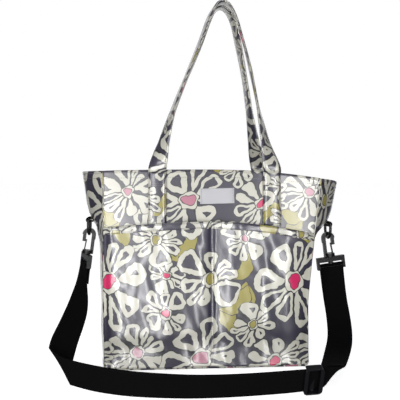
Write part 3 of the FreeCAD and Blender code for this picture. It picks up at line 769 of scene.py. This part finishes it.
def make_facing():
    """The band of printed cloth inside the rim."""
    grid = [round_row(r / 8, 2.6, 268, 1.0) for r in range(9)]
    cloth = [[(0.009 * c, p.z) for c, p in enumerate(line)] for line in grid]
    item = shell("rim_facing_cloth", grid, cloth, 0.0009, BODY_PRINT, closed=True)
    keep_on(item, "root", "rim_facing")


make_facing()


def make_lining():
    """Lining walls and floor in one piece, standing just inside the panels."""
    grid, cloth = [], []
    for share in (0.12, 0.3, 0.55, 0.8, 0.97):
        line = []
        for c in range(AROUND):
            place = wall(4 * c / AROUND, 6.0, 4.0) * MM
            line.append(Vector((place.x * share, place.y * share, 0.0066)))
        grid.append(line)
    for r in range(31):
        grid.append(round_row(r / 30, 3.8, 8.0, 26))
    for r, line in enumerate(grid):
        cloth.append([(p.x + p.y, p.z + 0.002 * r) for p in line])
    item = shell("lining_cloth_piece", grid, cloth, 0.0008, LINING, closed=True)
    return keep_on(item, "root", "lining")


make_lining()


def make_base():
    """The base panel: a flat cloth with its edge turned up to the bottom seam."""
    grid, cloth = [], []
    for share, height in ((0.1, 0.2), (0.5, 0.2), (0.9, 0.2), (0.97, 0.5), (0.992, 2.2),
                          (1.002, 4.8), (1.0, 7.6)):
        line = []
        for c in range(AROUND):
            place = wall(4 * c / AROUND, 5.0, 0.6)
            line.append(Vector((place.x * share, place.y * share, height)) * MM)
        grid.append(line)
        cloth.append([(p.x, p.y) for p in line])
    item = shell("base_cloth", grid, cloth, 0.0015, BASE_PRINT, closed=True)
    return keep_on(item, "root", "base_panel")


make_base()


def tube(name, path, radius, material, closed=False):
    """A round cord of cloth along a line of points."""
    sides = 8
    points, faces, places = [], [], []
    count = len(path)
    for k, (place, run) in enumerate(zip(path, runs_along(path))):
        before = path[(k - 1) % count] if closed or k else place
        after = path[(k + 1) % count] if closed or k < count - 1 else place
        way = (after - before).normalized()
        side = way.cross(Vector((0.13, 0.21, 0.97))).normalized()
        over = side.cross(way).normalized()
        for turn in range(sides):
            angle = math.tau * turn / sides
            points.append(place + (side * math.cos(angle) + over * math.sin(angle)) * radius)
            places.append((run, 0.004 * turn))
    for k in range(count if closed else count - 1):
        for turn in range(sides):
            a, b = k * sides + turn, k * sides + (turn + 1) % sides
            n = ((k + 1) % count) * sides
            faces.append((b, a, n + turn, n + (turn + 1) % sides))
    if not closed:
        faces.append(tuple(range(sides)))
        faces.append(tuple(reversed([(count - 1) * sides + i for i in range(sides)])))
    return make_object(name, points, faces, places, material)


def make_seams():
    """Corner welts, the bottom welt, and the stitching round the rim."""
    for turn, name in ((0.0, "left_front"), (1.0, "right_front"), (2.0, "right_back"), (3.0, "left_back")):
        path = [sagged(turn, k / 60, 0.4) for k in range(61)]
        keep_on(tube(f"{name}_welt", path, 0.0013, SIDE_PRINT), "root")
    path = [wall(4 * c / 200, 7.4, 0.0) * MM for c in range(200)]
    keep_on(tube("bottom_welt", path, 0.0013, BASE_PRINT, closed=True), "root")
    parts = []
    for side, low, high in (("front", 0.0, 1.0), ("right", 1.0, 2.0), ("back", 2.0, 3.0), ("left", 3.0, 4.0)):
        for drop in (3.0, 11.0):
            path, outs = [], []
            for k in range(81):
                turn = low + (high - low) * (0.01 + 0.98 * k / 80)
                here = sagged(turn, 1.0, 0.0, BOTTOM, drop)
                near = sagged(turn + 0.004, 1.0, 0.0, BOTTOM, drop)
                below = sagged(turn, 0.98, 0.0, BOTTOM, drop)
                out = (near - here).cross(here - below).normalized()
                path.append(here + out * 0.0001)
                outs.append(out)
            parts.append(stitch_row(f"rim_stitches_{side}_{drop:.0f}", path, outs, 0.0032))
    keep_on(joined("rim_stitches", parts), "root")


make_seams()

# ------------------------------------------------------------------ the front pocket

POCKET_BULGE = 13.0


def pocket_top(x):
    return 222 - (9 if x < 0 else 21) * min(abs(x) / 160, 1.1) ** 1.8


def pocket_place(share_x, z, lift=0.0):
    """A place on the pocket's face, in millimetres; share_x runs 0 to 1 between the corner seams."""
    left, right = level(FRONT_LEFT, z) + 0.5, level(FRONT_RIGHT, z) - 0.5
    x = left + (right - left) * share_x
    middle = 2.0
    half = (right - middle) if x > middle else (middle - left)
    off = abs(x - middle) / half
    lobe = 1 - abs(2 * off - 1) ** 2.6
    crease = 0.35 * (1 - off) ** 2 + 0.10
    rise = 0.50 + 0.50 * math.sin(min(max((z - 4) / 50, 0), 1) * math.pi / 2)
    fall = 1 - 0.45 * min(max((z - 150) / 72, 0), 1) ** 1.5
    edge = min(min(share_x, 1 - share_x) / 0.03, 1)
    bulge = POCKET_BULGE * (lobe * 0.85 + crease) * rise * fall
    ruck = 3.0 * ripple(x, 0, z * 0.25, 38) + 0.8 * ripple(x * 1.3 + z * 0.4, 9, z * 0.8, 18)
    seam = math.exp(-((x - middle) / 3.0) ** 2) * 2.2 * min(max((z - 20) / 40, 0), 1)
    front = wall(share_x, z).y
    y = front - 2.4 - edge * (bulge + ruck * rise) + seam * rise - lift
    return Vector((x, y, z))


def cloth_grid(rows, columns, place):
    """Points from place(row, column) in millimetres, and their places on the cloth seen from the front."""
    grid = [[place(r, c) * MM for c in range(columns)] for r in range(rows)]
    return grid, [[(p.x, p.z) for p in line] for line in grid]


def make_pocket():
    """The pocket's face, the hem band along its top, and its stitching."""
    columns, rows_count = 150, 100

    def top_at(share):
        return pocket_top(-160 + 320 * share)

    def face_at(r, c):
        share = c / columns
        return pocket_place(share, BOTTOM + (top_at(share) - 9 - BOTTOM) * r / rows_count)

    def hem_at(r, c):
        lift = 1.0 - 0.5 * abs(r / 4 - 1) ** 3
        return pocket_place(c / columns, top_at(c / columns) - 10 + 10 * r / 8, lift)

    grid, cloth = cloth_grid(rows_count + 1, columns + 1, face_at)
    item = shell("pocket_cloth", grid, cloth, 0.0016, POCKET_PRINT)
    keep_on(item, "root", "front_pocket", "pocket_divider")
    grid, cloth = cloth_grid(9, columns + 1, hem_at)
    cloth = [[(x + 0.06, z - 0.008) for x, z in line] for line in cloth]
    item = shell("pocket_hem_cloth", grid, cloth, 0.0026, POCKET_PRINT)
    keep_on(item, "root", "pocket_hem")
    toward = Vector((0, -1, 0))
    parts = []
    for drop in (1.8, 8.4):
        path = []
        for c in range(columns + 1):
            share = 0.006 + 0.988 * c / columns
            path.append(pocket_place(share, top_at(share) - drop, 1.25) * MM)
        parts.append(stitch_row(f"hem_stitches_{drop}", path, [toward] * len(path), 0.0030))
    for x in (0.6, 3.4):
        path = []
        for k in range(81):
            z = 26 + 185 * k / 80
            path.append(pocket_place(front_share(x, z), z, 0.1) * MM)
        parts.append(stitch_row(f"divider_stitches_{x}", path, [toward] * len(path), 0.0030))
    keep_on(joined("pocket_stitches", parts), "root")


make_pocket()

# ------------------------------------------------------------------ handles

HANDLE_ROUTE = [
    (-80, -60.5, 302), (-71, -54, 340), (-56, -45, 392), (-35, -35, 446), (-12, -25, 502),
    (4, -17, 546), (16, -14.5, 565), (30, -14.5, 566), (44, -16.5, 547), (54, -24, 510),
    (66, -34, 455), (76, -44, 398), (86, -54, 342), (95, -60.5, 302),
]
HANDLE_TURN = [0, 50, 78, 84, 78, 78, 88, 92, 102, 102, 96, 102, 130, 180]


def skin(count, sides):
    """Faces over a row of rings of points, and its two ends."""
    faces = []
    for i in range(count - 1):
        for k in range(sides):
            a, b = i * sides + k, i * sides + (k + 1) % sides
            faces.append((a, b, b + sides, a + sides))
    faces.append(tuple(reversed(range(sides))))
    faces.append(tuple((count - 1) * sides + k for k in range(sides)))
    return faces


def padded_strap(name, centres, acrosses, width, thickness, material):
    """A padded strap along a line; each across is a unit direction over its width."""
    profile = [(-1 + 2 * k / 8, 1) for k in range(9)] + [(1 - 2 * k / 8, -1) for k in range(9)]
    sides = len(profile)
    points, places = [], []
    for centre, across, way, run in zip(centres, acrosses, ways_along(centres), runs_along(centres)):
        out = way.cross(across).normalized()
        over = across.normalized()
        for u, face in profile:
            edge = 1 - abs(u) ** 6
            swell = 0.75 + 0.25 * math.cos(u * math.pi / 2)
            half = face * thickness / 2 * (0.25 + 0.75 * edge) * swell
            points.append(centre + over * (u * width / 2) + out * half)
            places.append((u * width / 2 + (0.11 if face < 0 else 0.0), run))
    return make_object(name, points, skin(len(centres), sides), places, material)


def make_handle(side):
    """A padded strap from its sewn foot, up over the bag and down to its other foot, with its stitches."""
    sign = 1 if side == "front" else -1
    low = [[Vector((x, front_face(x, z) - 3.2, z)) for z in (215, 226, 240, 255, 270, 284, 296)]
           for x in (-80, 95)]
    route = low[0] + [Vector(p) for p in HANDLE_ROUTE] + low[1][::-1]
    turns = [0] * 7 + HANDLE_TURN + [180] * 7
    route = [Vector((p.x, sign * p.y, p.z)) * MM for p in route]
    places, indexes = smooth_path(route, 0.004)
    acrosses = []
    for index in indexes:
        turn = math.radians(blended(turns, index))
        acrosses.append(Vector((math.cos(turn), -sign * math.sin(turn), 0)))
    ways = ways_along(places)
    acrosses = [(a - w * a.dot(w)).normalized() for a, w in zip(acrosses, ways)]
    item = padded_strap(f"{side}_handle_strap", places, acrosses, 0.027, 0.0046, HANDLE_PRINT)
    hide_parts(f"{side}_handle", f"{side}_handle_left_end", f"{side}_handle_right_end")
    outs = [w.cross(a).normalized() for w, a in zip(ways, acrosses)]
    parts = []
    for offset in (-0.0108, 0.0108):
        for face in (1, -1):
            path = [p + a * offset + o * (face * 0.0017) for p, a, o in zip(places, acrosses, outs)]
            parts.append(stitch_row("row", path, [o * face for o in outs], 0.0030))
    stitching = joined(f"{side}_handle_stitches", parts)
    for piece in (item, stitching):
        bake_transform(piece)
    parts = []
    for x in (-80, 95):
        base = [p for p in places if abs(p.x * 1000 - x) < 6 and p.z < 0.300]
        for lower, upper in (((-9, 229), (9, 229)), ((-9, 277), (9, 277)), ((-9, 279.5), (9, 279.5)),
                             ((-9, 229), (9, 243)), ((-9, 243), (9, 229)), ((-9, 243), (9, 243))):
            path = [Vector((x + lower[0] + (upper[0] - lower[0]) * k / 6, 0, lower[1] + (upper[1] - lower[1]) * k / 6))
                    * MM for k in range(7)]
            for p in path:
                near = min(base, key=lambda q: abs(q.z - p.z))
                p.y = near.y - sign * 0.0021
            parts.append(stitch_row("row", path, [Vector((0, -sign, 0))] * 7, 0.0028))
    keep_on(joined(f"{side}_handle_tacks", parts), "root")


make_handle("front")
make_handle("back")


def make_label():
    """A blank label between the handles' feet, sewn at its two ends."""
    def label_at(r, c):
        x, z = -15 + 52 * c / 26, 249 + 23 * r / 12
        edge = min(min(c, 26 - c) / 3, 1)
        curl = 0.9 * edge + 0.8 * ripple(x, 3, z, 18)
        tilt = (x - 11) * 0.02
        return Vector((x, front_face(x, z) - 0.6 - max(curl, 0.2), z + tilt))

    grid, cloth = cloth_grid(13, 27, label_at)
    keep_on(shell("label_cloth", grid, cloth, 0.0005, LABEL), "root", "label")
    parts = []
    for c in (1, 25):
        path = [grid[r][c] + Vector((0, -0.0001, 0)) for r in range(13)]
        parts.append(stitch_row("row", path, [Vector((0, -1, 0))] * 13, 0.0024, 0.0004))
    keep_on(joined("label_stitches", parts), "root")


make_label()

# ------------------------------------------------------------------ ring tabs, shoulder strap and hard parts

STRAP_ROUTE = [
    (-0.1978, -0.0012, 0.1504), (-0.199, -0.006, 0.122), (-0.201, -0.030, 0.093), (-0.206, -0.066, 0.073),
    (-0.213, -0.103, 0.054), (-0.217, -0.128, 0.027), (-0.186, -0.137, 0.020), (-0.148, -0.160, 0.0196),
    (-0.098, -0.178, 0.019), (-0.005, -0.190, 0.018), (0.154, -0.181, 0.0228), (0.161, -0.150, 0.021),
    (0.186, -0.092, 0.024), (0.205, -0.049, 0.036), (0.2115, -0.017, 0.062), (0.209, 0, 0.098),
    (0.2049, 0.0036, 0.1414),
]
STRAP_ACROSS = [
    (-0.34, 0.94, 0), (-0.48, 0.87, 0.05), (-0.70, 0.70, 0.10), (-0.88, 0.42, 0.18), (-0.93, 0.15, 0.33),
    (-0.43, -0.13, 0.89), (-0.05, -0.14, 0.99), (0, -0.20, 0.98), (0, -0.28, 0.96), (0.03, -0.38, 0.92),
    (0.03, -0.38, 0.92), (0.70, -0.60, 0.38), (0.92, -0.36, 0.15), (0.98, -0.18, 0.04), (1, -0.03, 0.03),
    (0.99, 0.04, 0.08), (0.99, 0.05, 0.12),
]
WEB_WIDTH = 0.038
WEB_THICKNESS = 0.0016
TURN_RADIUS = 0.0036
ROOT_DEPTH = 0.0014


def nurbs_line(name, points):
    """Places along a smooth curve that has the points as its controls."""
    curve = bpy.data.curves.new(name, "CURVE")
    curve.dimensions = "3D"
    spline = curve.splines.new("NURBS")
    spline.points.add(len(points) - 1)
    for item, point in zip(spline.points, points):
        item.co = (*point, 1)
    spline.order_u = 3
    spline.use_endpoint_u = True
    spline.resolution_u = 24
    holder = bpy.data.objects.new(name, curve)
    scene.collection.objects.link(holder)
    bpy.context.view_layer.update()
    mesh = bpy.data.meshes.new_from_object(holder.evaluated_get(bpy.context.evaluated_depsgraph_get()))
    places = [v.co.copy() for v in mesh.vertices]
    bpy.data.objects.remove(holder)
    bpy.data.meshes.remove(mesh)
    return places


def ribbon(name, centres, acrosses, width=WEB_WIDTH, thickness=WEB_THICKNESS, shifts=None, cloth_from=0.0):
    """Flat webbing along a line, with rounded selvedges. Returns the piece and its middle line."""
    profile = [(-1 + 2 * k / 10, 1) for k in range(11)] + [(1 - 2 * k / 10, -1) for k in range(11)]
    sides = len(profile)
    points, places, line = [], [], []
    shifts = shifts or [0.0] * len(centres)
    for centre, across, way, run, shift in zip(centres, acrosses, ways_along(centres), runs_along(centres), shifts):
        over = across.normalized()
        out = way.cross(over).normalized()
        over = over / max(math.sin(way.angle(over)), 0.3)
        middle = centre + out * shift
        line.append(middle)
        for u, face in profile:
            thin = 1 - 0.45 * abs(u) ** 10
            points.append(middle + over * (u * width / 2) + out * (face * thickness / 2 * thin))
            places.append((cloth_from + run, u * width / 2 + (0.08 if face < 0 else 0.0)))
    return make_object(name, points, skin(len(centres), sides), places, WEBBING), line


def make_strap():
    centres = nurbs_line("strap_line", STRAP_ROUTE)
    tips = nurbs_line("strap_edge", [tuple(Vector(p) + Vector(a).normalized() * 0.02)
                                     for p, a in zip(STRAP_ROUTE, STRAP_ACROSS)])
    acrosses = [(tip - centre) for tip, centre in zip(tips, centres)]
    strap, line = ribbon("shoulder_strap_webbing", centres, acrosses)
    keep_on(strap, "shoulder_strap", "strap_webbing")
    first = next(i for i, p in enumerate(centres) if p.x > 0.1405 and p.y < -0.160)
    count = len(centres)
    shifts = []
    for i in range(first, count):
        end = max(0.0, (i - (count - 26)) / 25)
        shifts.append(-0.0023 - 0.0047 * end ** 1.5)
    back, _ = ribbon("shoulder_strap_return", centres[first:], acrosses[first:], shifts=shifts, cloth_from=0.3)
    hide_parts("strap_return")
    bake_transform(back)
    pieces = [back]
    for hand, centre, across in (("left", centres[0], acrosses[0]), ("right", centres[-1], acrosses[-1])):
        over = across.normalized()
        way = (centres[1] - centres[0]) if hand == "left" else (centres[-2] - centres[-1])
        way = (way - over * way.dot(over)).normalized()
        out = way.cross(over).normalized()
        box_low, box_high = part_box(f"strap_{hand}_loop")
        hub = Vector(((box_low[0] + box_high[0]) / 2, (box_low[1] + box_high[1]) / 2, box_high[2] - 0.0045))
        side = 1 if (centre - hub).dot(out) > 0 else -1
        path = []
        for k in range(17):
            angle = math.pi * k / 16
            path.append(hub + out * (side * TURN_RADIUS * math.cos(angle)) - way * (TURN_RADIUS * math.sin(angle)))
        if hand == "left":
            for k in range(1, 12):
                path.append(hub - out * (side * (TURN_RADIUS - 0.0008 * min(k / 4, 1))) + way * (0.0027 * k))
        path = [centre.lerp(path[0], 0.5)] + path
        turn, _ = ribbon(f"strap_{hand}_turn", path, [over] * len(path), cloth_from=0.6)
        keep_on(turn, "shoulder_strap", f"strap_{hand}_loop")
        pieces.append(turn)
    names = ["left_hook_frame", "right_hook_frame", "left_hook", "right_hook", "left_gate", "right_gate", "slider"]
    pieces += [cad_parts[name] for name in names]


make_strap()


def rooted_in_cloth(tab, cloth_name, side, root_x, bar_x):
    """Moves the tab's sewn end out into the cloth of the wall, so that none of it comes through the lining."""
    cloth = bpy.data.objects[cloth_name].data
    tree = BVHTree.FromPolygons([v.co for v in cloth.vertices], [p.vertices for p in cloth.polygons])
    start, reach = side * root_x, side * bar_x - TURN_RADIUS
    for vertex in tab.data.vertices:
        out = side * vertex.co.x
        outside = Vector((side * 0.3, vertex.co.y, vertex.co.z))
        hit = tree.ray_cast(outside, Vector((-side, 0, 0)))[0]
        if hit is not None and out < reach:
            root = side * hit.x - ROOT_DEPTH
            vertex.co.x = side * (root + (out - start) * (reach - root) / (reach - start))


def make_tab(hand):
    """A short webbing tab from the gusset, folded round the bar of the ring."""
    low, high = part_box(f"{hand}_ring_tab")
    side = -1 if hand == "left" else 1
    bar_x = low[0] + 0.0044 if hand == "left" else high[0] - 0.0044
    bar_z = (low[2] + high[2]) / 2
    root_x = high[0] if hand == "left" else low[0]
    path = []
    for k in range(9):
        path.append(Vector((root_x + (bar_x - root_x) * k / 8, 0, bar_z + 0.0016 + 0.0020 * (k / 8) ** 2)))
    for k in range(1, 16):
        angle = math.pi * k / 16
        path.append(Vector((bar_x + side * TURN_RADIUS * math.sin(angle), 0, bar_z + TURN_RADIUS * math.cos(angle))))
    for k in range(9):
        path.append(Vector((bar_x + (root_x - bar_x) * k / 8, 0, bar_z - TURN_RADIUS + 0.0020 * (k / 8) ** 0.5)))
    across = Vector((0, 1, 0))
    tab, _ = ribbon(f"{hand}_tab_webbing", path, [across] * len(path), 0.025, 0.0017)
    rooted_in_cloth(tab, f"{hand}_gusset_cloth", side, root_x, bar_x)
    keep_on(tab, "root", f"{hand}_ring_tab")


make_tab("left")
make_tab("right")


def make_inside():
    """The slip pocket and its elastic top, on the back wall."""
    def slip_at(r, c):
        x = -105 + 210 * c / 60
        edge = min(min(c, 60 - c) / 6, 1) * min(r / 6, 1)
        gather = 0.7 * math.sin(x / 210 * math.tau * 13) * (r / 40) ** 3
        y = 53.0 - edge * (2.5 + 3.2 * math.sin(math.pi * c / 60)) + gather * edge
        return Vector((x, y, 105 + 113 * r / 40))

    def elastic_at(r, c):
        x = -105 + 210 * c / 120
        edge = min(min(c, 120 - c) / 12, 1)
        gather = 0.6 * math.sin(x / 210 * math.tau * 26)
        y = 53.0 - edge * (2.6 + 3.2 * math.sin(math.pi * c / 120)) + gather * edge
        return Vector((x, y, 216 + 10 * r / 6))

    for node, rows, columns, place, thickness, material in (
            ("slip_pocket", 41, 61, slip_at, 0.0009, LINING),
            ("slip_elastic", 7, 121, elastic_at, 0.0016, ELASTIC)):
        grid, cloth = cloth_grid(rows, columns, place)
        item = shell(f"{node}_cloth", grid, cloth, thickness, material, flip=True)
        keep_on(item, "root", node)


make_inside()

HARD_PARTS = {"base_board": BOARD, "snap_front": SNAP, "snap_back": SNAP, "slider": PLASTIC}
for hand in ("left", "right"):
    HARD_PARTS.update({f"{hand}_{part}": PLASTIC for part in ("d_ring", "hook", "gate", "hook_frame")})
for name, material in HARD_PARTS.items():
    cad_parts[name].data.materials.clear()
    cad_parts[name].data.materials.append(material)
lay_floor()
